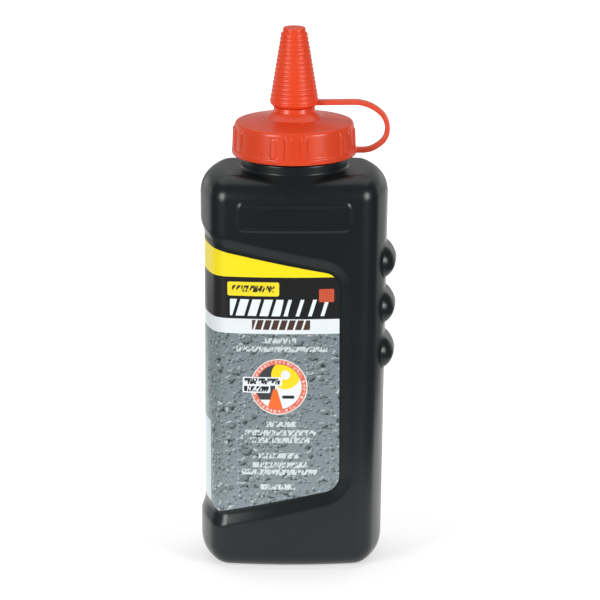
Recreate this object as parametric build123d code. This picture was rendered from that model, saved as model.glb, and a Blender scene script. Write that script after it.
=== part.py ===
from build123d import *
import math
import os

# Squeeze bottle of chalk powder with a screw-on dispensing cap, in millimetres.
# The origin is the centre of the base, on the neck axis; +Z is up, and -Y is the
# broad front.

# Body of the bottle.
half_width = 32.0
half_depth = 22.0
shoulder_z = 137.6
right_side_taper = 2.3
side_sag = 5.1
face_bulge = 2.5
corner_radius = 8.0
least_corner_radius = 3.0
shoulder_round = 7.8
base_round = 7.2
cavity_round = 6.0
wall = 1.2
base_thickness = 2.0
push_up_depth = 0.8
push_up_inset = 11.0

# Label panel, sunk into the front, the left side and the back. The edges run level
# round the side, turn at the front corner and then slope across the face.
side_reach = 40.0
corner_turn_x = -26.5
panel_depth = 1.35
panel_right = 17.9
panel_side = (18.4, 117.6)
panel_turn = (16.7, 115.8)
panel_far = (26.8, 106.5)
panel_corner = 6.0

# Wrap label.
label_thickness = 0.2
label_right = 15.5
label_side = (22.8, 113.6)
label_turn = (20.0, 112.6)
label_far = (28.6, 104.2)
label_corner = 4.5

# Raised nameplate on the upper front.
plate_half_width = 19.1
plate_bottom = 119.8
plate_top = 129.5
plate_height = 0.45
plate_corner = 2.0

# Finger grips on the right side.
grip_heights = (73.7, 89.6, 105.6)
grip_radius = 6.1
grip_protrusion = 3.5
grip_half_angle = 8.5

# Neck finish for a 38 mm closure.
neck_root_radius = 17.35
neck_bore_radius = 15.5
neck_foot = 132.0
neck_top = 150.8
neck_flare_radius = 20.9
neck_flare_bottom = 134.0
bead_radius = 18.1
bead_bottom = 138.4
bead_top = 141.6
bead_round = 0.8

# Screw thread, one right-hand start of six turns to the inch.
thread_pitch = 25.4 / 6
thread_depth = 1.25
thread_root_width = 2.4
thread_crest_width = 0.9
thread_sink = 0.3
neck_thread_start = 143.5
neck_thread_turns = 1.25
cap_thread_lead_turns = 0.65
cap_thread_turns = 1.0

# Screw cap.
skirt_bottom = 142.4
skirt_bead_radius = 21.3
skirt_bead_height = 1.9
skirt_bead_step = 0.3
skirt_low_radius = 20.7
skirt_high_radius = 20.3
skirt_high_z = 152.6
skirt_bore_radius = 18.95
deck_edge_radius = 19.9
deck_edge_z = 153.3
deck_crown_radius = 9.6
deck_crown_z = 154.8
liner_seat_z = 151.7
liner_seat_radius = 13.3
crown_underside_radius = 9.0
crown_underside_z = 153.2
nozzle_root_radius = 6.95
nozzle_root_z = 158.1
nozzle_seat_z = 158.7
nozzle_base_radius = 6.1
nozzle_tip_radius = 2.4
nozzle_tip_z = 179.4
bore_mouth_radius = 5.6
bore_mouth_z = 153.9
bore_seat_radius = 4.6
bore_tip_radius = 1.3

# Grip ribs on the skirt, in groups.
rib_groups = 5
ribs_in_group = 3
rib_slots = 25
rib_offset = -95.5
rib_width = 2.3
rib_low_radius = 21.2
rib_high_radius = 20.9
rib_sink = 0.6
rib_bottom = 142.8
rib_top = 151.9
rib_round = 0.4

# Liner in the cap.
liner_gap = 0.1
liner_outer_radius = 18.6
liner_inner_radius = 13.5

# Tip cover.
cover_bottom = 159.0
cover_wide_z = 159.85
cover_top = 185.9
cover_rim_radius = 7.4
cover_wide_radius = 8.2
cover_crest_radius = 8.45
cover_taper = 0.1635
cover_collar_radius = 3.85
cover_bore_base_radius = 6.6
cover_bore_top_radius = 2.6
cover_roof = 1.7
cover_edge = 0.5
cover_rib_count = 16
cover_rib_pitch = 1.5
cover_rib_depth = 0.2
cover_first_rib = 160.3

# Tether strap between the cap and the tip cover, and the stubs it runs between.
strap_thickness = 1.75
strap_width = 3.0
strap_gap = 0.3
stub_sink = 0.9
cap_stub_end = 22.4
cap_stub_z = 143.4
cover_stub_end = 9.8
cover_stub_z = 159.9
strap_route = ((24.85, 160.1), (31.7, 154.7), (31.7, 147.4), (25.9, cap_stub_z))
strap_bends = (13.0, 7.4, 6.3, 8.0)

# Powder.
powder_gap = 0.35
powder_top = 104.0
powder_round = 4.5


def upright_cylinder(radius, bottom, top):
    """Cylinder on the neck axis between two heights."""
    body = Cylinder(radius, top - bottom, align=(Align.CENTER, Align.CENTER, Align.MIN))
    return Pos(0, 0, bottom) * body


def turned(outline):
    """Solid of revolution about the neck axis, from a closed outline of (radius, z)."""
    return revolve(Plane.XZ * make_face(outline), Axis.Z)


def right_side(z):
    """Position of the right side, which leans inward towards the base."""
    return half_width - right_side_taper * (shoulder_z - z) / shoulder_z


def plan_section(z, inset):
    """Outline of the body at height z, drawn in from the outside by inset."""
    left = inset - half_width
    right = right_side(z) - inset
    front = half_depth - inset
    corner_y = front - face_bulge
    corner_left = left + side_sag
    corner_right = right - side_sag
    middle = (left + right) / 2
    outline = Curve() + [
        ThreePointArc((corner_left, -corner_y), (middle, -front), (corner_right, -corner_y)),
        ThreePointArc((corner_right, -corner_y), (right, 0), (corner_right, corner_y)),
        ThreePointArc((corner_right, corner_y), (middle, front), (corner_left, corner_y)),
        ThreePointArc((corner_left, corner_y), (left, 0), (corner_left, -corner_y)),
    ]
    face = make_face(outline)
    rounding = max(corner_radius - inset, least_corner_radius)
    return Pos(0, 0, z) * fillet(face.vertices(), rounding)


def body_block(inset, bottom, top, bottom_round=0.0, top_round=0.0):
    """Solid with the body's outline, drawn in by inset, between two heights."""
    block = loft([plan_section(bottom, inset), plan_section(top, inset)])
    if bottom_round:
        block = fillet(block.edges().group_by(Axis.Z)[0], bottom_round)
    if top_round:
        block = fillet(block.edges().group_by(Axis.Z)[-1], top_round)
    return block


def wrap_zone(right, side, turn, far, corner, margin=0.0):
    """Everything inside an outline that wraps round the left side, grown by margin.

    side, turn and far are the lower and upper heights of the outline on the side, at
    the front corner and at its right end.
    """
    low = [
        (-side_reach, side[0] - margin),
        (-half_width, side[0] - margin),
        (corner_turn_x, turn[0] - margin),
        (right + margin, far[0] - margin),
    ]
    high = [
        (right + margin, far[1] + margin),
        (corner_turn_x, turn[1] + margin),
        (-half_width, side[1] + margin),
        (-side_reach, side[1] + margin),
    ]
    outline = Plane.XZ * make_face(Polyline(*low, *high, close=True))
    zone = extrude(outline, half_depth * 2, both=True)
    end_edges = zone.edges().filter_by(Axis.Y).sort_by(Axis.X)[-2:]
    return fillet(end_edges, corner + margin)


def panel_sink(margin, inset):
    """Material between the body's outside and the floor of the label panel."""
    zone = wrap_zone(panel_right, panel_side, panel_turn, panel_far, panel_corner, margin)
    return zone - body_block(inset, -1.0, shoulder_z + 1.0)


def grip_lobes(radius):
    """Three rounded finger grips that follow the curve of the right side."""
    half_chord = half_depth - face_bulge
    side_radius = (half_chord ** 2 + side_sag ** 2) / (2 * side_sag)
    ring_radius = side_radius + grip_protrusion - grip_radius
    section = Plane.XZ * Pos(ring_radius, 0) * Circle(radius)
    bar = revolve(Rot(0, 0, -grip_half_angle) * section, Axis.Z, 2 * grip_half_angle)
    end_turn = math.radians(grip_half_angle)
    end_x = ring_radius * math.cos(end_turn)
    end_y = ring_radius * math.sin(end_turn)
    lobe = bar + Pos(end_x, end_y, 0) * Sphere(radius) + Pos(end_x, -end_y, 0) * Sphere(radius)
    return [Pos(right_side(z) - side_radius, 0, z) * lobe for z in grip_heights]


def nameplate():
    """Plain raised plate with rounded corners, following the front face."""
    middle_z = (plate_bottom + plate_top) / 2
    outline = RectangleRounded(2 * plate_half_width, plate_top - plate_bottom, plate_corner)
    prism = extrude(Plane.XZ * Pos(0, middle_z) * outline, half_depth + 2)
    return prism & body_block(-plate_height, 100.0, shoulder_z)


def thread(root_radius, crest_radius, start_z, turns):
    """Helical ridge that rises from root_radius to crest_radius, its root sunk a little."""
    outward = math.copysign(1, crest_radius - root_radius)
    sunk_radius = root_radius - outward * thread_sink
    helix = Helix(thread_pitch, turns * thread_pitch, root_radius, center=(0, 0, start_z))
    outline = Polyline(
        (sunk_radius, start_z - thread_root_width / 2),
        (crest_radius, start_z - thread_crest_width / 2),
        (crest_radius, start_z + thread_crest_width / 2),
        (sunk_radius, start_z + thread_root_width / 2),
        close=True,
    )
    return sweep(Plane.XZ * make_face(outline), path=helix, is_frenet=True)


def neck():
    """Neck finish with its flared foot, bead and thread, before it is bored."""
    finish = upright_cylinder(neck_root_radius, neck_foot, neck_top)
    bead = upright_cylinder(bead_radius, neck_foot, bead_top)
    bead = fillet(bead.edges().group_by(Axis.Z)[-1], bead_round)
    flare_outline = Polyline(
        (neck_root_radius, neck_flare_bottom),
        (neck_flare_radius, neck_flare_bottom),
        (bead_radius, bead_bottom),
        (neck_root_radius, bead_bottom),
        close=True,
    )
    crest_radius = neck_root_radius + thread_depth
    ridge = thread(neck_root_radius, crest_radius, neck_thread_start, neck_thread_turns)
    return finish + bead + turned(flare_outline) + ridge


def bottle_shell():
    """Hollow blow-moulded bottle: body, grips, sunk panel, nameplate and neck."""
    outside = body_block(0, 0, shoulder_z, base_round, shoulder_round)
    outside += grip_lobes(grip_radius)
    outside -= panel_sink(0, panel_depth)
    outside += nameplate()
    outside += neck()
    inside = body_block(wall, base_thickness, shoulder_z - wall, cavity_round, cavity_round)
    inside += grip_lobes(grip_radius - wall)
    inside -= panel_sink(wall, panel_depth + wall)
    bore = upright_cylinder(neck_bore_radius, neck_foot - 5, neck_top + 1)
    push_up = body_block(push_up_inset, -1.0, push_up_depth)
    return outside - inside - bore - push_up


def wrap_label():
    """Printed label round the front, the left side and the back of the panel."""
    outer = body_block(panel_depth - label_thickness, 0, shoulder_z)
    floor = body_block(panel_depth, -1.0, shoulder_z + 1.0)
    zone = wrap_zone(label_right, label_side, label_turn, label_far, label_corner)
    return (outer - floor) & zone


def chalk_powder():
    """Settled powder, level on top, a little clear of the wall."""
    inset = panel_depth + wall + powder_gap
    return body_block(inset, base_thickness + powder_gap, powder_top, powder_round)


def cap_liner():
    """Flat foam ring that seals the cap on the neck."""
    bottom = neck_top + liner_gap
    top = liner_seat_z - liner_gap
    hole = upright_cylinder(liner_inner_radius, bottom - 1, top + 1)
    return upright_cylinder(liner_outer_radius, bottom, top) - hole


def cap_shape():
    """Skirt, deck and nozzle of the screw cap, without ribs or thread."""
    bead_z = skirt_bottom + skirt_bead_height
    flare_middle = ((deck_crown_radius + 2 * nozzle_root_radius) / 3, deck_crown_z + 1.0)
    flare = ThreePointArc(
        (deck_crown_radius, deck_crown_z), flare_middle, (nozzle_root_radius, nozzle_root_z)
    )
    nozzle_and_inside = Polyline(
        (nozzle_root_radius, nozzle_root_z),
        (nozzle_root_radius, nozzle_seat_z),
        (nozzle_base_radius, nozzle_seat_z),
        (nozzle_tip_radius, nozzle_tip_z),
        (bore_tip_radius, nozzle_tip_z),
        (bore_seat_radius, nozzle_seat_z),
        (bore_mouth_radius, bore_mouth_z),
        (crown_underside_radius, crown_underside_z),
        (liner_seat_radius, liner_seat_z),
        (skirt_bore_radius, liner_seat_z),
        (skirt_bore_radius, skirt_bottom),
    )
    skirt_and_deck = Polyline(
        (skirt_bore_radius, skirt_bottom),
        (skirt_bead_radius, skirt_bottom),
        (skirt_bead_radius, bead_z),
        (skirt_low_radius, bead_z + skirt_bead_step),
        (skirt_high_radius, skirt_high_z),
        (deck_edge_radius, deck_edge_z),
        (deck_crown_radius, deck_crown_z),
    )
    return turned(Curve() + [skirt_and_deck, flare, nozzle_and_inside])


def grip_ribs():
    """Narrow upright ribs on the skirt, in groups with plain lands between."""
    inner_radius = skirt_bore_radius + rib_sink
    profile = Polyline(
        (inner_radius, rib_bottom),
        (rib_low_radius, rib_bottom),
        (rib_high_radius, rib_top),
        (inner_radius, rib_top),
        close=True,
    )
    blank = extrude(Plane.XZ * make_face(profile), rib_width / 2, both=True)
    flank_and_top_edges = blank.edges().sort_by(Axis.X)[-4:-1]
    rib = fillet(flank_and_top_edges, rib_round)
    slots_in_group = rib_slots // rib_groups
    ribs = []
    for group in range(rib_groups):
        for place in range(ribs_in_group):
            slot = group * slots_in_group + place - ribs_in_group // 2
            ribs.append(Rot(0, 0, rib_offset + slot * 360 / rib_slots) * rib)
    return ribs


def stub(start_x, end_x, z):
    """Short square stub that one end of the tether strap runs out of."""
    bar = Box(end_x - start_x, strap_width, strap_thickness, align=(Align.MIN, Align.CENTER))
    return Pos(start_x, 0, z) * bar


def screw_cap():
    """Screw cap with its nozzle, grip ribs, thread and the root of the tether."""
    lead = cap_thread_lead_turns
    start_z = neck_thread_start + (lead - 0.5) * thread_pitch
    crest_radius = skirt_bore_radius - thread_depth
    ridge = thread(skirt_bore_radius, crest_radius, start_z, cap_thread_turns)
    cap = cap_shape() + grip_ribs()
    cap += stub(skirt_bore_radius + stub_sink, cap_stub_end, cap_stub_z)
    return cap + Rot(0, 0, 360 * lead) * ridge


def cover_crest(z):
    """Radius of the tip cover over its ribs at height z."""
    return cover_crest_radius - cover_taper * (z - cover_wide_z)


def tip_cover():
    """Ribbed hollow cone that closes the nozzle, with the far end of the tether."""
    outline = [
        (cover_bore_base_radius, cover_bottom),
        (cover_rim_radius, cover_bottom),
        (cover_wide_radius, cover_wide_z),
    ]
    for rib in range(cover_rib_count):
        groove_z = cover_first_rib + rib * cover_rib_pitch
        crest_z = groove_z + cover_rib_pitch / 2
        groove_radius = cover_crest(groove_z) - cover_rib_depth
        outline += [(groove_radius, groove_z), (cover_crest(crest_z), crest_z)]
    roof_z = cover_top - cover_roof
    collar_z = cover_first_rib + cover_rib_count * cover_rib_pitch
    outline += [
        (cover_collar_radius, collar_z),
        (cover_collar_radius, cover_top - cover_edge),
        (cover_collar_radius - cover_edge, cover_top),
        (0, cover_top),
        (0, roof_z),
        (cover_bore_top_radius, roof_z),
    ]
    cone = turned(Polyline(*outline, close=True))
    return cone + stub(cover_wide_radius - stub_sink, cover_stub_end, cover_stub_z)


def tether_strap():
    """Flat strap that keeps the tip cover with the cap."""
    start = (cover_stub_end + strap_gap, cover_stub_z)
    end = (cap_stub_end, cap_stub_z)
    path = Plane.XZ * FilletPolyline(start, *strap_route, end, radius=list(strap_bends))
    section = Plane(origin=path @ 0, z_dir=path % 0) * Rectangle(strap_thickness, strap_width)
    return sweep(section, path=path)


parts = {
    "bottle_shell": bottle_shell,
    "wrap_label": wrap_label,
    "chalk_powder": chalk_powder,
    "cap_liner": cap_liner,
    "screw_cap": screw_cap,
    "tip_cover": tip_cover,
    "tether_strap": tether_strap,
}

os.makedirs("parts", exist_ok=True)
for name, make in parts.items():
    export_step(make(), f"parts/{name}.step")
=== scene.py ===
"""Looks of the chalk powder squeeze bottle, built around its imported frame.

Lengths are in millimetres, as in the frame's source, and become metres when a mesh is
made. +Z is up, and -Y is the broad front. The bottle stands on the floor at z = 0.
"""

import math

import bpy
import numpy as np
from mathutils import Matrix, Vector


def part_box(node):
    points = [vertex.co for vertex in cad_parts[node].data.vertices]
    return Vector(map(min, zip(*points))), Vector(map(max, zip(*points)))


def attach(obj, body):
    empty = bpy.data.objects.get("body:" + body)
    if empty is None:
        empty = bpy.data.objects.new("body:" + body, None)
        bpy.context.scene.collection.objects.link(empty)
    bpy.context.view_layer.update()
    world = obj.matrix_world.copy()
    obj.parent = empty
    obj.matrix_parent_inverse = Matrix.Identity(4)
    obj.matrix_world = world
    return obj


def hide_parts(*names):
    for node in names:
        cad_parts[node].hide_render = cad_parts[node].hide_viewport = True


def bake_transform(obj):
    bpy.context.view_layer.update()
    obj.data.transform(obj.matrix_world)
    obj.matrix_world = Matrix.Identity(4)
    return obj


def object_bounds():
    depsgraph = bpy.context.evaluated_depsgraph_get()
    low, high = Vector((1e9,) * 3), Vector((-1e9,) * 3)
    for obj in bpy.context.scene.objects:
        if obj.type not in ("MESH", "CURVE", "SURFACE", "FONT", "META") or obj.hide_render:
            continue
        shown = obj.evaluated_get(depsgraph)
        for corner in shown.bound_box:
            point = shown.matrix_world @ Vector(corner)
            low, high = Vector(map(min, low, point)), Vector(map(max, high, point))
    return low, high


MM = 0.001

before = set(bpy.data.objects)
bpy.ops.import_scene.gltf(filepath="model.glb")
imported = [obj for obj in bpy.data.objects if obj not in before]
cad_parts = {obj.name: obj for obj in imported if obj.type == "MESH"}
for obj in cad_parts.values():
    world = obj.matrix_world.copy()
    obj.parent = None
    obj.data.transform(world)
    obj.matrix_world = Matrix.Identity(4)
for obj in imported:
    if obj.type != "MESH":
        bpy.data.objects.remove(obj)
cad_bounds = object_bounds()


def node_box(node):
    """Lowest and highest corners of a frame node, in millimetres."""
    low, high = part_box(node)
    return low / MM, high / MM


shell_low, shell_high = node_box("bottle_shell")
cap_low, cap_high = node_box("screw_cap")
cover_low, cover_high = node_box("tip_cover")
liner_low, liner_high = node_box("cap_liner")
powder_low, powder_high = node_box("chalk_powder")

# Bottle body.
half_width = -shell_low.x
half_depth = 22.0
shoulder_z = 137.6
lean = 2.3
side_sag = 5.1
face_bulge = 2.5
corner_radius = 8.0
base_round = 7.2
shoulder_round = 7.8
cavity_round = 6.0
wall = 1.2
base_thickness = 2.0
push_up_depth = 0.8
push_up_share = 0.72
seam_height = 0.12
seam_half_width = 0.5
ripple_height = 0.05

# Sunk label panel: heights of its lower and upper edge on the side, at the front corner
# and at the right end, all at the middle of the sloping wall.
corner_turn_x = -26.5
panel_depth = 1.35
panel_right = 17.9
panel_side = (18.4, 117.6)
panel_turn = (16.7, 115.8)
panel_far = (26.8, 106.5)
panel_corner = 7.0
panel_wall_width = 3.7
panel_edge_softness = 0.006

# Wrap label.
label_thickness = 0.15
label_right = 15.5
label_side = (22.8, 113.6)
label_turn = (20.0, 112.6)
label_far = (28.6, 104.2)
label_corner = 4.5

# Print on the label, measured along it from the middle of the front and up from the base.
# It is label_quarter from there to the middle of the side. A band is its lower and upper
# edge, a motif its middle and half size, and a line of text its height and its two ends.
label_quarter = 46.8
side_panel_edge = 33.4
print_slant = 0.3
white_band = (83.84, 89.05)
black_band = (89.05, 103.65)
yellow_band = (103.65, 130.0)
badge = ((-13.9, 99.5), (9.0, 2.45))
badge_strokes = ((-13.9, 99.6), (7.4, 1.15))
red_chip = ((11.15, 97.3), (2.55, 2.3))
bar_row = ((-4.4, 93.0), (17.6, 2.9))
block_row = ((-4.3, 87.0), (10.0, 1.7))
side_panel = ((-label_quarter, 36.8), (label_quarter - side_panel_edge, 14.3))
caption_plates = (((-10.6, 67.1), (6.9, 1.5)), ((-12.7, 64.4), (4.9, 1.4)))
emblem_middle = (-4.9, 65.2)
emblem_outer = 9.5
emblem_inner = 7.9
emblem_rim = 0.35
emblem_dashes = (8.3, 9.2)
emblem_sun_middle = (2.4, 4.2)
emblem_sun_ring = (1.6, 5.0)
text_half_height = 0.95
text_lines = (
    (81.5, -9.8, 1.1),
    (78.4, -20.0, 11.5),
    (51.9, -9.3, 2.4),
    (48.85, -17.0, 8.0),
    (46.2, -14.9, 5.7),
    (40.7, -11.8, 2.1),
    (37.4, -13.9, 4.9),
    (34.8, -17.7, 8.3),
    (29.55, -11.1, 1.2),
)

# Colours of the print, and of the drops of water under it.
ink_white = (0.80, 0.85, 0.88)
ink_bright = (0.84, 0.89, 0.92)
ink_pale = (0.62, 0.69, 0.73)
ink_text = (0.66, 0.72, 0.74)
ink_black = (0.012, 0.012, 0.013)
ink_caption = (0.015, 0.016, 0.018)
ink_dark = (0.03, 0.028, 0.02)
ink_brown = (0.075, 0.040, 0.028)
ink_red = (0.58, 0.095, 0.045)
ink_badge = (0.95, 0.76, 0.03)
ink_yellow = (0.98, 0.80, 0.012)
drop_body = (0.15, 0.19, 0.205)
drop_shade = (0.020, 0.028, 0.031)
drop_light = (0.66, 0.73, 0.75)

# Finger grips.
grip_heights = (73.7, 89.6, 105.6)
grip_radius = 6.1
grip_protrusion = 3.5
grip_half_length = 5.9
grip_foot_softness = 0.03

# Nameplate.
plate_half_width = 19.1
plate_middle_z = 124.65
plate_half_height = 4.85
plate_height = 0.45
plate_corner = 2.0
plate_border = 1.1

# Neck.
neck_flare_radius = 20.9
neck_flare_bottom = 134.0
neck_root_radius = 17.35
neck_bore_radius = 15.5
neck_top = shell_high.z
bead_radius = 18.1
bead_bottom = 138.4
bead_top = 141.6

# Screw thread, right-hand.
thread_pitch = 25.4 / 6
thread_depth = 1.25
thread_root_width = 2.4
thread_crest_width = 0.9
thread_run_in = 0.35
neck_thread_start = 143.5
neck_thread_turns = 1.25
cap_thread_lead_turns = 0.65
cap_thread_turns = 1.0

# Screw cap.
skirt_bottom = cap_low.z
skirt_foot_radius = 20.2
skirt_bead_radius = 21.3
skirt_bead_top = skirt_bottom + 1.9
skirt_low_radius = 20.7
skirt_high_radius = 20.3
skirt_bore_radius = 18.95
deck_edge_radius = 19.9
deck_edge_z = 153.3
deck_crown_radius = 9.6
deck_crown_z = 154.8
liner_seat_z = 151.7
nozzle_root_radius = 6.95
nozzle_root_z = 158.1
nozzle_seat_z = 158.7
nozzle_base_radius = 6.1
nozzle_tip_radius = 2.4
nozzle_tip_z = cap_high.z
bore_tip_radius = 1.3
bore_seat_radius = 4.6
bore_mouth = (5.6, 153.9)
crown_underside = (9.0, 153.2)
liner_seat_radius = 13.3
rib_slots = 25
rib_groups = 5
ribs_in_group = 3
rib_offset = math.radians(-95.5)
rib_half_width = 1.2
rib_low_radius = 21.2
rib_high_radius = 20.9
rib_bottom = 144.2
rib_top = 152.0
rib_bottom_run = 0.5
rib_top_run = 0.6

# Powder.
powder_ring_step = 4.0
powder_edge_drop = 2.5

# Foam liner.
liner_bore_radius = 13.5
liner_round = 0.25

# Tip cover.
cover_bottom = cover_low.z
cover_wide_z = 159.85
cover_top = cover_high.z
cover_rim_radius = 7.4
cover_wide_radius = 8.2
cover_crest_radius = 8.45
cover_taper = 0.1635
cover_collar_radius = 3.85
cover_bore_base_radius = 6.6
cover_bore_top_radius = 2.6
cover_roof = 1.7
cover_rib_count = 16
cover_rib_pitch = 1.5
cover_rib_depth = 0.2
cover_first_rib = 160.3

# Tether strap, from the cap's skirt to the tip cover.
strap_thickness = 1.75
strap_width = 3.0
strap_round = 0.45
cap_stub_z = 143.4
cover_stub_z = 159.9
strap_route = (
    (20.6, cap_stub_z),
    (25.9, cap_stub_z),
    (31.7, 147.4),
    (31.7, 154.7),
    (24.85, 160.1),
    (7.2, cover_stub_z),
)
strap_bends = (8.0, 6.3, 7.4, 13.0)

# Part of the table painted as lit, in metres: where it goes from painted dark to painted lit
# in front of the bottle and on each side of it, both read towards the bottle, and how much
# further out its sides lie with each metre back.
table_front_edge = (-0.22, -0.075)
table_side_edge = (-0.15, -0.112)
table_side_spread = 0.07
# The painted lit part glows by table_glow, more by table_far_glow further back; table_dark and
# table_light are the table's painted shade and painted light colours.
table_glow = 0.52
table_far_glow = 0.35
table_size = 14.0
table_dark = (0.16, 0.16, 0.165)
table_light = (0.62, 0.62, 0.62)

# Soft lights: azimuth in degrees from the front, positive to the right, height and level
# distance in metres, the light's own width and height in metres, and its power in watts.
soft_lights = (
    ("left_front", -44, 0.34, 1.0, (0.36, 0.42), 6.4),
    ("right_front", 48, 0.34, 1.0, (0.36, 0.42), 6.2),
    ("left_side", -130, 0.1, 0.38, (0.34, 0.22), 0.16),
    ("right_side", 140, 0.1, 0.38, (0.34, 0.22), 0.12),
    ("backdrop", 180, 0.6, 1.6, (2.4, 1.2), 2.0),
    ("overhead", 180, 1.4, 0.45, (2.2, 1.5), 12.0),
)
light_target = Vector((0, 0, 0.1))
surround_strength = 0.18

# Camera: its angle above level, its distance in metres, its aim and the width of its
# picture as shares of the object's height, and its sensor's width in millimetres.
camera_elevation = math.radians(14.7)
camera_distance = 1.5
camera_aim = (0.01038, 0.4863)
picture_width = 1.1103
sensor_width = 36.0

# Mesh fineness: the bottle's side has finer rings where its edges and grips cross it.
fine_stretches = ((12.0, 32.0), (64.0, 132.0))
fine_step = 0.5
coarse_step = 1.2
label_columns = 420
label_rows = 120
pole_ring_radius = 0.3
body_columns = 560
turned_columns = 360
cap_columns = 720


# ---------------------------------------------------------------- shape helpers


def smooth(t):
    """Smooth step from 0 to 1 as t goes from 0 to 1."""
    t = np.clip(t, 0.0, 1.0)
    return t * t * (3.0 - 2.0 * t)


def inside_corner(a, b, radius):
    """Distance inside a corner of two edges, a and b inside each, rounded to radius."""
    return radius - np.hypot(np.maximum(radius - a, 0.0), np.maximum(radius - b, 0.0))


def rounded_path(points, radii, step):
    """Points along a polyline whose inner corners are arcs, at most step apart."""
    points = [np.array(p, float) for p in points]
    path = [points[0]]
    for before, corner, after, radius in zip(points, points[1:], points[2:], radii):
        to_before = (before - corner) / np.linalg.norm(before - corner)
        to_after = (after - corner) / np.linalg.norm(after - corner)
        half = math.acos(float(np.clip(to_before @ to_after, -1.0, 1.0))) / 2
        if radius == 0:
            path.append(corner)
            continue
        reach = radius / math.tan(half)
        bisector = to_before + to_after
        centre = corner + bisector / np.linalg.norm(bisector) * radius / math.sin(half)
        first = corner + to_before * reach - centre
        last = corner + to_after * reach - centre
        sweep = math.pi - 2 * half
        pieces = max(3, math.ceil(radius * sweep / step), math.ceil(sweep / 0.35))
        for k in range(pieces + 1):
            share = k / pieces
            blend = math.sin((1 - share) * sweep) * first + math.sin(share * sweep) * last
            path.append(centre + blend / math.sin(sweep))
    path.append(points[-1])
    filled = [path[0]]
    for start, end in zip(path, path[1:]):
        pieces = max(1, math.ceil(np.linalg.norm(end - start) / step))
        for k in range(1, pieces + 1):
            filled.append(start + (end - start) * k / pieces)
    return np.array(filled)


def make_object(name, vertices, faces, material, sharp_angle=50.0):
    """Mesh object from millimetre vertices, smooth but for edges over sharp_angle."""
    mesh = bpy.data.meshes.new(name)
    mesh.from_pydata((np.asarray(vertices) * MM).tolist(), [], faces)
    mesh.polygons.foreach_set("use_smooth", [True] * len(mesh.polygons))
    mesh.set_sharp_from_angle(angle=math.radians(sharp_angle))
    mesh.materials.append(material)
    mesh.update()
    piece = bpy.data.objects.new(name, mesh)
    bpy.context.scene.collection.objects.link(piece)
    return piece


def ring_faces(ring_count, columns, wrap):
    """Quads between rings of equal length; wrap joins the last ring to the first."""
    column = np.arange(columns)
    following = (column + 1) % columns
    quads = []
    for ring in range(ring_count if wrap else ring_count - 1):
        low = ring * columns
        high = (ring + 1) % ring_count * columns
        quads.append(
            np.stack([low + column, low + following, high + following, high + column], 1)
        )
    return np.concatenate(quads).tolist()


def ring_object(name, rings, material, first_pole=None, last_pole=None, sharp_angle=50.0):
    """Closed piece from rings; its ends meet at the poles, or join up without poles."""
    columns = len(rings[0])
    faces = ring_faces(len(rings), columns, wrap=first_pole is None)
    vertices = np.concatenate(rings)
    if first_pole is not None:
        first = len(vertices)
        vertices = np.concatenate([vertices, [first_pole, last_pole]])
        last_ring = (len(rings) - 1) * columns
        for column in range(columns):
            following = (column + 1) % columns
            faces.append([first, following, column])
            faces.append([first + 1, last_ring + column, last_ring + following])
    return make_object(name, vertices, faces, material, sharp_angle)


def turned_rings(path, angles, shift=None):
    """Rings about the neck axis from (radius, z) points; shift moves a radius outward."""
    rings = []
    for radius, z in path:
        radii = np.full(len(angles), radius)
        if shift is not None:
            radii = radii + shift(radius, z, angles)
        rings.append(np.stack([radii * np.cos(angles), radii * np.sin(angles),
                               np.full(len(angles), z)], 1))
    return rings


def thread_height(z, angles, start_z, lead_turns, turns):
    """Height of a helical ridge above its root at height z, over the angles."""
    height = np.zeros(len(angles))
    flank = (thread_root_width - thread_crest_width) / 2
    for turn in range(math.ceil(turns + lead_turns) + 1):
        travel = angles % (2 * math.pi) + turn * 2 * math.pi - lead_turns * 2 * math.pi
        centre = start_z + thread_pitch * travel / (2 * math.pi)
        ridge = smooth((thread_root_width / 2 - np.abs(z - centre)) / flank)
        to_end = turns * 2 * math.pi - travel
        run_in = smooth(travel / thread_run_in) * smooth(to_end / thread_run_in)
        height = np.maximum(height, thread_depth * ridge * run_in)
    return height


# ---------------------------------------------------------------- body of the bottle


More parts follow.
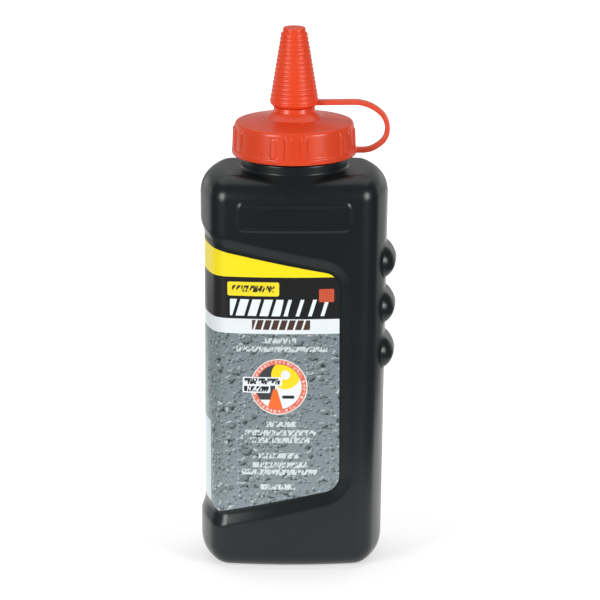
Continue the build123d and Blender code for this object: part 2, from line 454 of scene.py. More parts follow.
def body_outline(columns):
    """Plan of the body at its widest, anticlockwise from the middle of the front.

    Returns x, y, the outward normal and the distance along the outline, with the points
    evenly spaced.
    """
    front_radius = ((half_width - side_sag) ** 2 + face_bulge ** 2) / (2 * face_bulge)
    half_chord = half_depth - face_bulge
    side_radius = (half_chord ** 2 + side_sag ** 2) / (2 * side_sag)
    front_centre = np.array([0.0, front_radius - half_depth])
    side_centre = np.array([half_width - side_radius, 0.0])
    between = side_centre - front_centre
    gap = np.linalg.norm(between)
    to_front = front_radius - corner_radius
    to_side = side_radius - corner_radius
    along = (gap ** 2 + to_front ** 2 - to_side ** 2) / (2 * gap)
    across = math.sqrt(to_front ** 2 - along ** 2)
    unit = between / gap
    corner = front_centre + unit * along + np.array([-unit[1], unit[0]]) * across
    turn_1 = math.atan2(corner[1] - front_centre[1], corner[0] - front_centre[0])
    turn_2 = math.atan2(corner[1] - side_centre[1], corner[0] - side_centre[0])
    arcs = [
        (front_centre, front_radius, -math.pi / 2, turn_1),
        (corner, corner_radius, turn_1, turn_2),
        (side_centre, side_radius, turn_2, 0.0),
    ]
    points, normals, lengths = [], [], []
    covered = 0.0
    for centre, radius, begin, end in arcs:
        angle = np.linspace(begin, end, 400)
        normal = np.stack([np.cos(angle), np.sin(angle)], 1)
        points.append(centre + radius * normal)
        normals.append(normal)
        lengths.append(covered + radius * (angle - begin))
        covered += radius * (end - begin)
    points, normals = np.concatenate(points), np.concatenate(normals)
    lengths = np.concatenate(lengths)
    flip_y, flip_x = np.array([1.0, -1.0]), np.array([-1.0, 1.0])
    half_points = np.concatenate([points, (points * flip_y)[::-1]])
    half_normals = np.concatenate([normals, (normals * flip_y)[::-1]])
    half_lengths = np.concatenate([lengths, (2 * covered - lengths)[::-1]])
    all_points = np.concatenate([half_points, (half_points * flip_x)[::-1]])
    all_normals = np.concatenate([half_normals, (half_normals * flip_x)[::-1]])
    all_lengths = np.concatenate([half_lengths, (4 * covered - half_lengths)[::-1]])
    distance = np.arange(columns) * 4 * covered / columns
    sampled = [
        np.interp(distance, all_lengths, values)
        for values in (*all_points.T, *all_normals.T)
    ]
    return (*sampled, distance, covered)


def right_side(z):
    """Position of the right side, which leans inward towards the base."""
    return half_width - lean * (shoulder_z - z) / shoulder_z


def edge_heights(x, side, turn, far, right):
    """Lower and upper height of a wrap-round outline at x."""
    places = (-half_width, corner_turn_x, right)
    return tuple(np.interp(x, places, (side[k], turn[k], far[k])) for k in (0, 1))


def panel_relief(x, z):
    """How far the label panel is sunk, with a soft wall round it."""
    low, high = edge_heights(x, panel_side, panel_turn, panel_far, panel_right)
    from_right = panel_right - x
    inside = np.minimum(
        inside_corner(z - low, from_right, panel_corner),
        inside_corner(high - z, from_right, panel_corner),
    )
    share = inside / panel_wall_width + 0.5
    low_turn = np.sqrt(share ** 2 + panel_edge_softness)
    high_turn = np.sqrt((share - 1.0) ** 2 + panel_edge_softness)
    return -panel_depth * (low_turn - high_turn + 1.0) / 2


def grip_relief(along_side, z):
    """Height of the three finger grips; along_side is measured from the side's middle."""
    past_end = np.maximum(np.abs(along_side) - grip_half_length, 0.0)
    relief = np.zeros(len(along_side))
    for height in grip_heights:
        reach = past_end ** 2 + (z - height) ** 2
        dome = np.sqrt(np.maximum(grip_radius ** 2 - reach, 0.0))
        rise = dome - grip_radius + grip_protrusion
        softened = (rise + np.sqrt(rise ** 2 + grip_foot_softness)) / 2
        relief = np.maximum(relief, np.where(rise > -2.0, softened, 0.0))
    return relief


def plate_relief(x, y, z):
    """Height of the plain nameplate and its border on the front."""
    inside = inside_corner(
        plate_half_width - np.abs(x),
        plate_half_height - np.abs(z - plate_middle_z),
        plate_corner,
    )
    border = smooth(inside / 0.5 + 0.5) - 0.55 * smooth((inside - plate_border) / 0.5 + 0.5)
    return np.where(y < 0, plate_height * border, 0.0)


def body_ring(outline, z, inset, relief=1.0):
    """One ring of the body at height z, drawn in by inset, with its relief."""
    x, y, normal_x, normal_y, distance, quarter = outline
    out = np.full(len(x), -inset)
    stretch = (right_side(z) + half_width) / (2 * half_width)
    if relief:
        along_side = distance - quarter
        leaned_x = (x + half_width) * stretch - half_width
        out += relief * panel_relief(leaned_x, z)
        out += relief * grip_relief(along_side, z)
        out += relief * plate_relief(leaned_x, y, z)
        out += seam_height * np.maximum(1 - np.abs(y) / seam_half_width, 0.0)
        out += ripple_height * np.sin(x / 7.0 + z / 23.0) * np.sin(z / 11.0 - y / 9.0)
    ring_x = (x + normal_x * out + half_width) * stretch - half_width
    return np.stack([ring_x, y + normal_y * out, np.full(len(x), z)], 1)


def ring_between(start, end, share, z):
    """Ring part of the way from one ring to another, at height z."""
    ring = start + (end - start) * share
    ring[:, 2] = z
    return ring


def side_heights(low, high):
    """Heights of the rings up the side, closer where edges and grips cross it."""
    heights = [low]
    while heights[-1] < high:
        z = heights[-1]
        fine = any(start < z < end for start, end in fine_stretches)
        heights.append(min(high, z + (fine_step if fine else coarse_step)))
    return heights


def wall_rings(outline, bottom, top, inset, rounding):
    """Rings from the edge of a rounded base up the side to the foot of the shoulder."""
    rings = []
    for k in range(13):
        turn = math.pi / 2 * k / 12
        depth = inset + rounding * (1 - math.sin(turn))
        rings.append((bottom + rounding * (1 - math.cos(turn)), depth))
    rings += [(z, inset) for z in side_heights(bottom + rounding, top)[1:]]
    return [body_ring(outline, z, depth) for z, depth in rings]


def shoulder_rings(outline, inset, top, rounding, rim_radius, flare_share):
    """Rings over the rounded shoulder, from the wall in to a circle round the neck."""
    edge = np.stack([outline[0] - outline[2] * inset, outline[1] - outline[3] * inset], 1)
    normal = np.stack([outline[2], outline[3]], 1)
    from_axis = np.hypot(*edge.T)
    deepest = np.minimum((from_axis - rim_radius) / 2, rounding * 0.97)
    rim = edge / from_axis[:, None] * rim_radius
    slope = (bead_bottom - neck_flare_bottom) / (neck_flare_radius - bead_radius)

    def ring(plan, depth):
        """Ring over a plan that lies a depth inside the edge of the wall."""
        rise = np.sqrt(rounding ** 2 - np.maximum(rounding - depth, 0.0) ** 2)
        z = top - rounding + rise
        flare = bead_bottom - slope * (np.hypot(*plan.T) - bead_radius)
        over = (z + flare + np.sqrt((z - flare) ** 2 + 0.25)) / 2
        z = z + (over - z) * flare_share
        stretch = (right_side(z) + half_width) / (2 * half_width)
        return np.stack([(plan[:, 0] + half_width) * stretch - half_width, plan[:, 1], z], 1)

    rings = []
    for k in range(1, 15):
        depth = deepest * (1 - math.cos(math.pi / 2 * k / 14))
        rings.append(ring(edge - normal * depth[:, None], depth))
    start = edge - normal * deepest[:, None]
    for k in range(1, 25):
        plan = start + (rim - start) * k / 24
        depth = np.hypot(*(plan[:, None] - edge[None]).transpose(2, 0, 1)).min(axis=1)
        rings.append(ring(plan, depth))
    return rings


def bottle_rings():
    """All rings of the bottle: under the base, outside, neck, and back down inside."""
    outline = body_outline(body_columns)
    angles = np.arctan2(outline[1], outline[0])
    outside = wall_rings(outline, 0.0, shoulder_z - shoulder_round, 0.0, base_round)
    base_edge = outside[0]
    centre = np.zeros_like(base_edge)
    rings = []
    for share in (0.04, 0.3, 0.55, 0.68, 0.72, 0.76, 0.8, 0.84, 0.9, 0.96):
        rise = push_up_depth * smooth((push_up_share + 0.08 - share) / 0.1)
        rings.append(ring_between(centre, base_edge, share, rise))
    rings += outside
    rings += shoulder_rings(outline, 0.0, shoulder_z, shoulder_round, bead_radius, 1.0)
    neck_path = rounded_path(
        [
            (bead_radius, bead_bottom),
            (bead_radius, bead_top),
            (neck_root_radius, bead_top),
            (neck_root_radius, neck_top),
            (neck_bore_radius, neck_top),
            (neck_bore_radius, shoulder_z),
        ],
        (0.6, 0.12, 0.5, 0.5),
        0.3,
    )[1:]

    def neck_shift(radius, z, turn):
        """Thread ridge on the outside of the neck, above its bead."""
        if radius < neck_root_radius - 0.02 or z < bead_top + 0.3:
            return 0.0
        return thread_height(z, turn, neck_thread_start, 0.0, neck_thread_turns)

    rings += turned_rings(neck_path, angles, neck_shift)
    ceiling = shoulder_z - wall
    over = shoulder_rings(outline, wall, ceiling, cavity_round, neck_bore_radius, 0.0)
    inside = wall_rings(outline, base_thickness, ceiling - cavity_round, wall, cavity_round)
    rings += over[::-1]
    rings += inside[::-1]
    for share in (0.25, 0.5, 0.75, 0.96):
        rings.append(ring_between(inside[0], centre, share, base_thickness))
    return rings


# ---------------------------------------------------------------- pieces


def make_bottle(material):
    """Hollow blow-moulded bottle with its soft-edged panel, grips and threaded neck."""
    return ring_object(
        "blown_bottle", bottle_rings(), material,
        first_pole=(0, 0, push_up_depth), last_pole=(0, 0, base_thickness),
    )


def make_label(material):
    """Thin printed film on the floor of the panel, with its flat coordinates as UVs."""
    outline = body_outline(4 * body_columns)
    x, y, normal_x, normal_y, distance, quarter = outline
    end = label_right
    straight = np.linspace(-2 * quarter - end + label_corner, end - label_corner, label_columns)
    turn = np.linspace(0, math.pi / 2, 12)[1:]
    reach = label_corner * np.sin(turn)
    places = np.concatenate([straight[0] - reach[::-1], straight, straight[-1] + reach])
    trim = label_corner * (1 - np.cos(turn))
    trims = np.concatenate([trim[::-1], np.zeros(len(straight)), trim])
    closed = [np.append(values, values[0]) for values in (x, y, normal_x, normal_y)]
    around = np.append(distance, 4 * quarter)
    place_x = np.interp(places % (4 * quarter), around, closed[0])
    low, high = edge_heights(place_x, label_side, label_turn, label_far, label_right)
    share = np.linspace(0, 1, label_rows)
    heights = (low + trims)[:, None] * (1 - share) + (high - trims)[:, None] * share
    stretch = (right_side(heights) + half_width) / (2 * half_width)
    reach_out = ((end + half_width) / stretch - half_width) / end - 1
    from_back = places + 2 * quarter
    spread = np.maximum(places, 0)[:, None] * reach_out
    spread += np.minimum(from_back, 0)[:, None] * reach_out
    wrapped = (places[:, None] + spread) % (4 * quarter)
    at_x, at_y, out_x, out_y = (np.interp(wrapped, around, values) for values in closed)

    def sheet(sunk):
        """Points of the film, sunk under the surface of the body."""
        sheet_x = (at_x - out_x * sunk + half_width) * stretch - half_width
        return np.stack([sheet_x, at_y - out_y * sunk, heights], 2).reshape(-1, 3)

    columns = len(places)
    count = columns * label_rows
    index = np.arange(count).reshape(columns, label_rows)
    corners = (index[:-1, :-1], index[1:, :-1], index[1:, 1:], index[:-1, 1:])
    quads = np.stack([corner.ravel() for corner in corners], 1)
    back = quads[:, ::-1] + count
    rim = np.concatenate([index[:, 0], index[-1, 1:], index[-2::-1, -1], index[0, -2:0:-1]])
    following = np.roll(rim, -1)
    edge = np.stack([following, rim, rim + count, following + count], 1)
    faces = np.concatenate([quads, back, edge]).tolist()
    vertices = np.concatenate([sheet(panel_depth - label_thickness), sheet(panel_depth + 0.1)])
    piece = make_object("printed_label", vertices, faces, material)
    flat = np.stack([np.broadcast_to(places[:, None], heights.shape), heights], 2)
    flat = np.tile(flat.reshape(-1, 2) / 100.0, (2, 1))
    uv = piece.data.uv_layers.new(name="flat")
    corner_vertex = np.zeros(len(piece.data.loops), int)
    piece.data.loops.foreach_get("vertex_index", corner_vertex)
    uv.data.foreach_set("uv", flat[corner_vertex].ravel())
    return piece


def make_powder(material):
    """Settled powder with an uneven top, inside the frame's plain block."""
    outline = body_outline(240)
    inset = half_width + powder_low.x
    edge_z = powder_high.z - powder_edge_drop
    heights = np.arange(powder_low.z + powder_ring_step, edge_z, powder_ring_step)
    rings = [body_ring(outline, powder_low.z, inset + 3.5, 0.0)]
    rings.append(body_ring(outline, powder_low.z + 1.2, inset + 0.8, 0.0))
    rings += [body_ring(outline, z, inset, 0.0) for z in heights]
    edge = body_ring(outline, edge_z, inset, 0.0)
    centre = np.zeros_like(edge)
    for share in np.linspace(0.0, 0.97, 40):
        ring = ring_between(edge, centre, share, 0.0)
        x, y = ring[:, 0], ring[:, 1]
        swell = np.sin(x / 5.1 + 0.7) * np.cos(y / 4.3) + 0.5 * np.sin(x / 1.9 - y / 2.3)
        crumbs = 0.35 * np.sin(x * 1.7 + np.sin(y * 1.3)) * np.sin(y * 1.9)
        ring[:, 2] = powder_high.z - 2.0 + 0.8 * (swell + crumbs) * smooth(share * 8)
        rings.append(ring)
    top = (0.0, 0.0, powder_high.z - 1.6)
    return ring_object(
        "settled_powder", rings, material,
        first_pole=(0, 0, powder_low.z), last_pole=top, sharp_angle=70.0,
    )


def make_liner(material):
    """Foam ring with softly rounded edges."""
    inner, outer = liner_bore_radius, liner_high.x
    low, high = liner_low.z, liner_high.z
    middle = (inner + outer) / 2
    path = rounded_path(
        [(middle, low), (outer, low), (outer, high), (inner, high), (inner, low), (middle, low)],
        [liner_round] * 4,
        0.8,
    )[:-1]
    angles = np.linspace(0, 2 * math.pi, turned_columns, endpoint=False)
    return ring_object("foam_liner", turned_rings(path, angles), material)


def skirt_shift(radius, z, angles):
    """Grip ribs outside the skirt and the thread inside it, as a move of the radius."""
    if z > rib_top + 1.0:
        return 0.0
    if radius < skirt_bore_radius + 0.05 and z < liner_seat_z - 0.1:
        lead = cap_thread_lead_turns
        start_z = neck_thread_start + (lead - 0.5) * thread_pitch
        return -thread_height(z, angles, start_z, lead, cap_thread_turns)
    if radius < skirt_high_radius - 0.6 or z < rib_bottom:
        return 0.0
    rib_radius = np.interp(z, (rib_bottom, rib_top), (rib_low_radius, rib_high_radius))
    slot_angle = 2 * math.pi / rib_slots
    slot = np.round((angles - rib_offset) / slot_angle).astype(int)
    from_rib = (angles - rib_offset - slot * slot_angle) * rib_radius
    slots_in_group = rib_slots // rib_groups
    has_rib = (slot + ribs_in_group // 2) % slots_in_group < ribs_in_group
    cross = np.sqrt(np.maximum(1 - (from_rib / rib_half_width) ** 4, 0.0))
    ends = smooth((rib_top - z) / rib_top_run) * smooth((z - rib_bottom) / rib_bottom_run)
    return np.where(has_rib, max(rib_radius - radius, 0.0) * cross * ends, 0.0)


def make_cap(material):
    """Screw cap: beaded skirt with ribs and thread, domed deck and conical nozzle."""
    path = rounded_path(
        [
            (skirt_foot_radius, skirt_bottom),
            (skirt_bead_radius, skirt_bottom),
            (skirt_bead_radius, skirt_bead_top),
            (skirt_low_radius, skirt_bead_top + 0.25),
            (skirt_high_radius, deck_edge_z - 0.8),
            (deck_edge_radius, deck_edge_z),
            (deck_crown_radius, deck_crown_z),
            (nozzle_root_radius + 0.2, nozzle_root_z - 1.2),
            (nozzle_root_radius, nozzle_seat_z),
            (nozzle_base_radius, nozzle_seat_z),
            (nozzle_tip_radius, nozzle_tip_z),
            (bore_tip_radius, nozzle_tip_z),
            (bore_seat_radius, nozzle_seat_z),
            bore_mouth,
            crown_underside,
            (liner_seat_radius, liner_seat_z),
            (skirt_bore_radius, liner_seat_z),
            (skirt_bore_radius, skirt_bottom),
            (skirt_foot_radius, skirt_bottom),
        ],
        (0.5, 0.35, 0.25, 0.0, 0.45, 1.6, 2.0, 0.25, 0.3, 0.45, 0.3, 1.0, 0.6, 1.0, 1.0, 0.6, 0.3),
        0.42,
    )[:-1]
    angles = np.linspace(0, 2 * math.pi, cap_columns, endpoint=False)
    return ring_object("moulded_cap", turned_rings(path, angles, skirt_shift), material)


def make_cover(material):
    """Hollow tip cover with fine rings round it and a plain collar at the top."""
    inside = rounded_path(
        [
            (pole_ring_radius, cover_top - cover_roof),
            (cover_bore_top_radius, cover_top - cover_roof),
            (cover_bore_base_radius, cover_bottom),
            (cover_rim_radius, cover_bottom),
            (cover_wide_radius, cover_wide_z),
            (cover_wide_radius + 0.02, cover_wide_z + 0.5),
        ],
        (0.6, 0.3, 0.2, 0.3),
        0.5,
    )
    collar_z = cover_first_rib + cover_rib_count * cover_rib_pitch
    ribs_z = np.linspace(cover_wide_z + 0.6, collar_z - 0.2, 230)
    phase = (ribs_z - cover_first_rib) / cover_rib_pitch
    ribbed = smooth((phase + 0.3) * 4) * smooth((cover_rib_count - phase + 0.2) * 4)
    groove = (0.5 + 0.5 * np.cos(2 * math.pi * phase)) ** 1.6
    plain = cover_crest_radius - cover_taper * (ribs_z - cover_wide_z)
    outside = np.stack([plain - cover_rib_depth * groove * ribbed, ribs_z], 1)
    collar = rounded_path(
        [
            (cover_collar_radius + 0.15, collar_z),
            (cover_collar_radius, collar_z + 0.3),
            (cover_collar_radius, cover_top),
            (pole_ring_radius, cover_top),
        ],
        (0.1, 0.5),
        0.4,
    )
    path = np.concatenate([inside, outside, collar])
    angles = np.linspace(0, 2 * math.pi, turned_columns, endpoint=False)
    return ring_object(
        "ribbed_cover", turned_rings(path, angles), material,
        first_pole=(0, 0, cover_top - cover_roof), last_pole=(0, 0, cover_top),
    )


def make_strap(material):
    """Flat strap along its route, its ends sunk into the cap's bead and the cover."""
    route = rounded_path(strap_route, strap_bends, 0.45)
    for _ in range(4):
        route[1:-1] = (route[:-2] + 2 * route[1:-1] + route[2:]) / 4
    heading = np.gradient(route, axis=0)
    heading /= np.linalg.norm(heading, axis=1)[:, None]
    half_t, half_w = strap_thickness / 2, strap_width / 2
    corners = [(half_t, 0), (half_t, half_w), (-half_t, half_w), (-half_t, -half_w),
               (half_t, -half_w), (half_t, 0)]
    section = rounded_path(corners, [strap_round] * 4, 0.5)[:-1]
    rings = []
    for (x, z), (head_x, head_z) in zip(route, heading):
        across, along_y = section[:, 0], section[:, 1]
        rings.append(np.stack([x - head_z * across, along_y, z + head_x * across], 1))
    first, last = route[0], route[-1]
    return ring_object(
        "moulded_strap", rings, material,
        first_pole=(first[0], 0, first[1]), last_pole=(last[0], 0, last[1]), sharp_angle=60.0,
    )


# ---------------------------------------------------------------- materials


class Field:
    """A number that varies over a surface, written as sums of shader sockets."""

    def __init__(self, graph, socket):
        self.graph = graph
        self.socket = socket

    def __add__(self, other):
        return self.graph.math("ADD", self, other)

    def __sub__(self, other):
        return self.graph.math("SUBTRACT", self, other)

    def __rsub__(self, other):
        return self.graph.math("SUBTRACT", other, self)

    def __mul__(self, other):
        return self.graph.math("MULTIPLY", self, other)

    def __truediv__(self, other):
        return self.graph.math("DIVIDE", self, other)

    def between(self, low, high):
        """1 where the field lies between low and high."""
        return self.graph.math("COMPARE", self, (low + high) / 2, (high - low) / 2)

    def below(self, limit):
        """1 where the field is less than a limit."""
        return self.graph.math("LESS_THAN", self, limit)


class Graph:
    """A material's nodes, written one call a node."""

    def __init__(self, name):
        self.material = bpy.data.materials.new(name)
        self.material.use_nodes = True
        self.nodes = self.material.node_tree.nodes
        self.links = self.material.node_tree.links
        self.shader = self.nodes["Principled BSDF"]

    def feed(self, socket, value):
        """Puts a field, a socket or a plain value into an input."""
        if isinstance(value, Field):
            value = value.socket
        if isinstance(value, bpy.types.NodeSocket):
            self.links.new(value, socket)
        else:
            socket.default_value = value

    def add(self, kind, inputs, **settings):
        """New node of a kind, with its inputs and settings."""
        node = self.nodes.new(kind)
        for setting, value in settings.items():
            setattr(node, setting, value)
        for socket, value in inputs.items():
            self.feed(node.inputs[socket], value)
        return node

    def math(self, operation, *values):
        """Field that is a math operation on fields or numbers."""
        node = self.add("ShaderNodeMath", dict(enumerate(values)), operation=operation)
        return Field(self, node.outputs[0])

    def parts(self, vector):
        """The three numbers of a vector, as fields."""
        node = self.add("ShaderNodeSeparateXYZ", {"Vector": vector})
        return [Field(self, socket) for socket in node.outputs]

    def vector(self, operation, first, second):
        """Vector combined from two fields, or an operation on two vectors."""
        if operation == "COMBINE":
            return self.add("ShaderNodeCombineXYZ", {"X": first, "Y": second}).outputs[0]
        inputs = {0: first, 1: second}
        return self.add("ShaderNodeVectorMath", inputs, operation=operation).outputs[0]

    def box(self, across, up, middle, half, rounding):
        """1 inside a box with rounded corners; middle and half are (across, up)."""
        past_x = self.math("ABSOLUTE", across - middle[0]) - (half[0] - rounding)
        past_y = self.math("ABSOLUTE", up - middle[1]) - (half[1] - rounding)
        past_x = self.math("MAXIMUM", past_x, 0.0)
        past_y = self.math("MAXIMUM", past_y, 0.0)
        return (past_x * past_x + past_y * past_y).below(rounding ** 2)

    def ramp(self, value, low, high):
        """Field that rises smoothly from 0 to 1 as value goes from low to high."""
        inputs = {"Value": value, "From Min": low, "From Max": high}
        node = self.add("ShaderNodeMapRange", inputs, interpolation_type="SMOOTHSTEP")
        return Field(self, node.outputs[0])

    def mix(self, share, first, second):
        """Colour part of the way from the first colour to the second."""
        node = self.add("ShaderNodeMix", {}, data_type="RGBA")
        self.feed(node.inputs[0], share)
        for socket, colour in ((node.inputs[6], first), (node.inputs[7], second)):
            self.feed(socket, (*colour, 1.0) if isinstance(colour, tuple) else colour)
        return node.outputs[2]

    def position(self):
        """Place on the piece at rest, in metres."""
        return self.add("ShaderNodeTexCoord", {}).outputs["Object"]

    def noise(self, scale, detail=2.0, roughness=0.5, vector=None):
        """Cloudy field between 0 and 1; scale is in cells a metre of vector."""
        inputs = {
            "Vector": vector or self.position(),
            "Scale": scale,
            "Detail": detail,
            "Roughness": roughness,
        }
        node = self.add("ShaderNodeTexNoise", inputs)
        return Field(self, node.outputs[0])

    def bump(self, height, strength, distance_mm):
        """Fine relief from a field, into the shader's normal."""
        inputs = {"Height": height, "Strength": strength, "Distance": distance_mm * MM}
        node = self.add("ShaderNodeBump", inputs)
        self.feed(self.shader.inputs["Normal"], node.outputs[0])

    def finish(self, **inputs):
        """Sets the shader's inputs by name and returns the material."""
        for socket, value in inputs.items():
            self.feed(self.shader.inputs[socket.replace("_", " ")], value)
        return self.material


def bottle_material():
    """Near-black satin polyethylene with faint mottling and a fine skin."""
    graph = Graph("bottle_satin")
    broad = graph.noise(38.0, 3.0)
    grain = graph.noise(2600.0, 2.0, 0.6)
    colour = graph.mix(broad, (0.0060, 0.0088, 0.0096), (0.0090, 0.0125, 0.0136))
    graph.bump(grain, 0.10, 0.05)
    graph.shader.inputs["Specular IOR Level"].default_value = 0.36
    return graph.finish(Base_Color=colour, Roughness=broad * 0.07 + 0.25)


def cap_plastic(name, deep, pale, roughness):
    """Glossy translucent polyethylene, a little paler where it is thin."""
    graph = Graph(name)
    broad = graph.noise(90.0, 3.0)
    flow = graph.noise(1400.0, 2.0, 0.55)
    colour = graph.mix(broad, deep, pale)
    graph.bump(flow, 0.06, 0.05)
    graph.shader.inputs["Specular IOR Level"].default_value = 0.4
    graph.shader.inputs["Subsurface Weight"].default_value = 0.12
    graph.shader.inputs["Subsurface Radius"].default_value = (0.0016, 0.0005, 0.0003)
    graph.shader.inputs["Subsurface Scale"].default_value = 1.0
    return graph.finish(Base_Color=colour, Roughness=broad * 0.08 + roughness)


def powder_material():
    """Dry red chalk powder."""
    graph = Graph("red_chalk")
    grain = graph.noise(1800.0, 6.0, 0.7)
    colour = graph.mix(grain, (0.46, 0.035, 0.02), (0.70, 0.09, 0.045))
    graph.bump(grain, 0.6, 0.4)
    return graph.finish(Base_Color=colour, Roughness=0.95)


def liner_material():
    """White closed-cell foam."""
    graph = Graph("foam_white")
    cells = graph.noise(4200.0, 2.0, 0.6)
    colour = graph.mix(cells, (0.70, 0.69, 0.66), (0.86, 0.86, 0.84))
    graph.bump(cells, 0.35, 0.1)
    return graph.finish(Base_Color=colour, Roughness=0.8)


def water_drops(graph, s, z, colour, cell, least, most):
    """Drops of water on a colour, lit from the upper left; cell is their spacing."""
    flat = graph.vector("COMBINE", s * (0.8 / cell), z * (1.0 / cell))
    bend = graph.add("ShaderNodeTexNoise", {"Vector": flat, "Scale": 2.1, "Detail": 2.0})
    bent = graph.vector("ADD", flat, bend.outputs["Color"])
    drops = graph.add(
        "ShaderNodeTexVoronoi", {"Vector": bent, "Scale": 1.0}, voronoi_dimensions="2D"
    )
    pick = graph.parts(drops.outputs["Color"])[0]
    reach = pick * (most - least) + least
    offset = graph.vector("SUBTRACT", bent, drops.outputs["Position"])
    across, up = graph.parts(offset)[:2]
    lean = (up * 0.86 - across * 0.5) / reach
    inside = graph.ramp(reach - Field(graph, drops.outputs["Distance"]), 0.0, 0.07)
    colour = graph.mix(inside * 0.5, colour, drop_body)
    colour = graph.mix(inside * graph.ramp(lean * -1.0, 0.05, 0.7), colour, drop_shade)
    return graph.mix(inside * graph.ramp(lean, 0.45, 0.85), colour, drop_light)


def emblem(graph, s, z, strokes, colour):
    """Round plain emblem: a ring with light dashes round simple coloured shapes."""
    across, up = s - emblem_middle[0], z - emblem_middle[1]
    radius = graph.math("SQRT", across * across + up * up)
    turn = graph.math("ARCTAN2", up, across)
    colour = graph.mix(radius.below(emblem_outer + emblem_rim), colour, (0.85, 0.80, 0.78))
    colour = graph.mix(radius.below(emblem_outer), colour, (0.74, 0.15, 0.10))
    dashes = graph.math("FRACT", turn * 6.2).below(0.66) * radius.between(*emblem_dashes)
    colour = graph.mix(dashes * strokes, colour, (0.95, 0.62, 0.55))
    disc = radius.below(emblem_inner)
    colour = graph.mix(disc, colour, (0.80, 0.84, 0.86))
    dark = disc * across.below(-1.2) * graph.math("GREATER_THAN", up, -4.6)
    colour = graph.mix(dark, colour, (0.05, 0.055, 0.06))
    sun_x, sun_z = across - emblem_sun_middle[0], up - emblem_sun_middle[1]
    sun = graph.math("SQRT", sun_x * sun_x + sun_z * sun_z)
    colour = graph.mix(disc * sun.between(*emblem_sun_ring), colour, (0.95, 0.70, 0.02))
    heap = graph.math("ABSOLUTE", across + 1.2) + up * 0.3
    colour = graph.mix(disc * heap.below(0.4) * up.below(-0.8), colour, (0.88, 0.16, 0.03))
    pointer = graph.box(across, up, (3.4, -3.6), (2.1, 0.55), 0.3)
    return graph.mix(pointer, colour, (0.02, 0.02, 0.02))


def label_material():
    """Printed film: colour bands, plain motifs for its lettering and a field of drops."""
    graph = Graph("label_print")
    uv = graph.add("ShaderNodeUVMap", {}, uv_map="flat").outputs[0]
    along, z = (part * 100.0 for part in graph.parts(uv)[:2])
    s = along + along.below(-label_quarter) * (2.0 * label_quarter)
    slanted = s - z * print_slant
    letters = graph.noise(1.0, 1.0, 0.5, graph.vector("COMBINE", slanted * 1.25, z * 0.55))
    strokes = graph.ramp(letters, 0.43, 0.51)
    mottle = graph.noise(1.0, 3.0, 0.6, graph.vector("COMBINE", s * 0.9, z * 0.9))
    colour = graph.mix(mottle, (0.135, 0.172, 0.185), (0.27, 0.325, 0.345))
    colour = water_drops(graph, s, z, colour, 1.7, 0.14, 0.46)
    colour = water_drops(graph, s, z, colour, 3.7, 0.08, 0.46)
    for height, left, right in text_lines:
        half = ((right - left) / 2, text_half_height)
        line = graph.box(s, z, ((left + right) / 2, height), half, 0.1)
        colour = graph.mix(line * strokes * 0.85, colour, ink_text)
    colour = emblem(graph, s, z, strokes, colour)
    for middle, half in caption_plates:
        plate = graph.box(s, z, middle, half, 0.5)
        colour = graph.mix(plate, colour, ink_white)
        inner = graph.box(s, z, middle, (half[0] - 0.5, half[1] - 0.45), 0.1)
        colour = graph.mix(inner * strokes, colour, ink_caption)
    colour = graph.mix(graph.box(along, z, *side_panel, 0.6), colour, ink_pale)
    colour = graph.mix(z.between(*white_band), colour, ink_white)
    blocks = graph.math("FRACT", slanted * 0.36).below(0.76)
    colour = graph.mix(graph.box(s, z, *block_row, 0.1) * blocks, colour, ink_brown)
    colour = graph.mix(z.between(*black_band), colour, ink_black)
    share = 0.72 - graph.ramp(s, -4.5, -1.0) * 0.42
    bars = graph.math("LESS_THAN", graph.math("FRACT", slanted * 0.24 + 0.3), share)
    colour = graph.mix(graph.box(s, z, *bar_row, 0.3) * bars, colour, ink_bright)
    colour = graph.mix(graph.box(s, z, *badge, 0.7), colour, ink_badge)
    colour = graph.mix(graph.box(s, z, *badge_strokes, 0.1) * strokes, colour, ink_dark)
    colour = graph.mix(graph.box(s, z, *red_chip, 0.4), colour, ink_red)
    colour = graph.mix(z.between(*yellow_band), colour, ink_yellow)
    return graph.finish(Base_Color=colour, Roughness=0.28)


# ---------------------------------------------------------------- stage


def make_floor():
    """White table, painted lit and made to glow under and behind the bottle, and painted
    dark in front and to the sides.
    """
    bpy.ops.mesh.primitive_plane_add(size=table_size)
    floor = bpy.context.object
    floor.name = "floor"
    graph = Graph("floor_table")
    split = graph.add("ShaderNodeSeparateXYZ", {"Vector": graph.position()})
    x, y = Field(graph, split.outputs[0]), Field(graph, split.outputs[1])
    aside = graph.math("ABSOLUTE", x) - y * table_side_spread
    # Painted light: where lit, the table's colour is painted lighter and it glows.
    lit = graph.ramp(y, *table_front_edge) * graph.ramp(aside * -1.0, *table_side_edge)
    glow = lit * (graph.ramp(y, 0.0, 0.6) * table_far_glow + table_glow)
    colour = graph.mix(lit, table_dark, table_light)
    floor.data.materials.append(graph.finish(
        Base_Color=colour, Roughness=0.9,
        Emission_Color=(1.0, 1.0, 1.0, 1.0), Emission_Strength=glow,
    ))


def softbox(name, azimuth, height, distance, size, power):
    """Rectangular soft light round the bottle, turned to it; azimuth 0 is in front."""
    turn = math.radians(azimuth)
    place = Vector((distance * math.sin(turn), -distance * math.cos(turn), height))
    light = bpy.data.lights.new(name, "AREA")
    light.shape = "RECTANGLE"
    light.size, light.size_y = size
    light.energy = power
    lamp = bpy.data.objects.new(name, light)
    lamp.location = place
    lamp.rotation_euler = (light_target - place).to_track_quat("-Z", "Y").to_euler()
    bpy.context.scene.collection.objects.link(lamp)


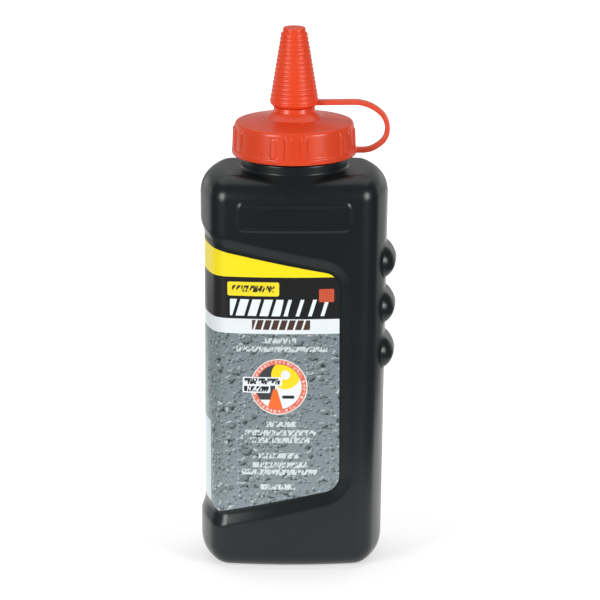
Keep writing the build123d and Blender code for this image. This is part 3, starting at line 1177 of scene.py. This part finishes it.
def make_lights():
    """The soft lights, and a dim even surround."""
    for light in soft_lights:
        softbox(*light)
    world = bpy.data.worlds.new("surround")
    world.use_nodes = True
    background = world.node_tree.nodes["Background"]
    background.inputs["Color"].default_value = (1.0, 1.0, 1.0, 1.0)
    background.inputs["Strength"].default_value = surround_strength
    bpy.context.scene.world = world


def make_camera():
    """Long lens a little above the bottle's middle, looking at its broad front."""
    height = cad_bounds[1][2] - cad_bounds[0][2]
    aim = Vector((camera_aim[0] * height, 0.0, camera_aim[1] * height))
    backwards = Vector((0, -math.cos(camera_elevation), math.sin(camera_elevation)))
    camera_data = bpy.data.cameras.new("camera")
    camera_data.sensor_width = sensor_width
    camera_data.lens = sensor_width * camera_distance / (picture_width * height)
    camera = bpy.data.objects.new("camera", camera_data)
    camera.location = aim + camera_distance * backwards
    camera.rotation_euler = (aim - camera.location).to_track_quat("-Z", "Y").to_euler()
    bpy.context.scene.collection.objects.link(camera)
    bpy.context.scene.camera = camera
    bpy.context.scene.view_settings.view_transform = "Standard"


# ---------------------------------------------------------------- assembly


def place(piece, node, body, slot):
    """Puts a piece on its body in place of the frame's node."""
    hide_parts(node)
    if body:
        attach(piece, body)


def main():
    """Makes every piece, puts each in place of its node, and sets the stage."""
    cap_red = cap_plastic("cap_red", (0.72, 0.058, 0.014), (0.78, 0.070, 0.020), 0.24)
    cover_red = cap_plastic("cover_red", (0.80, 0.060, 0.012), (0.86, 0.075, 0.020), 0.30)
    strap_red = cap_plastic("strap_red", (0.72, 0.075, 0.035), (0.78, 0.095, 0.045), 0.32)
    place(make_bottle(bottle_material()), "bottle_shell", "bottle", "bottle")
    place(make_label(label_material()), "wrap_label", "bottle", "label")
    place(make_powder(powder_material()), "chalk_powder", "bottle", "powder")
    place(make_liner(liner_material()), "cap_liner", "liner", "liner")
    place(make_cap(cap_red), "screw_cap", "cap", "cap")
    place(make_cover(cover_red), "tip_cover", "cover", "cover")
    strap = make_strap(strap_red)
    place(strap, "tether_strap", None, "strap")
    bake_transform(strap)
    make_floor()
    make_lights()
    make_camera()


main()
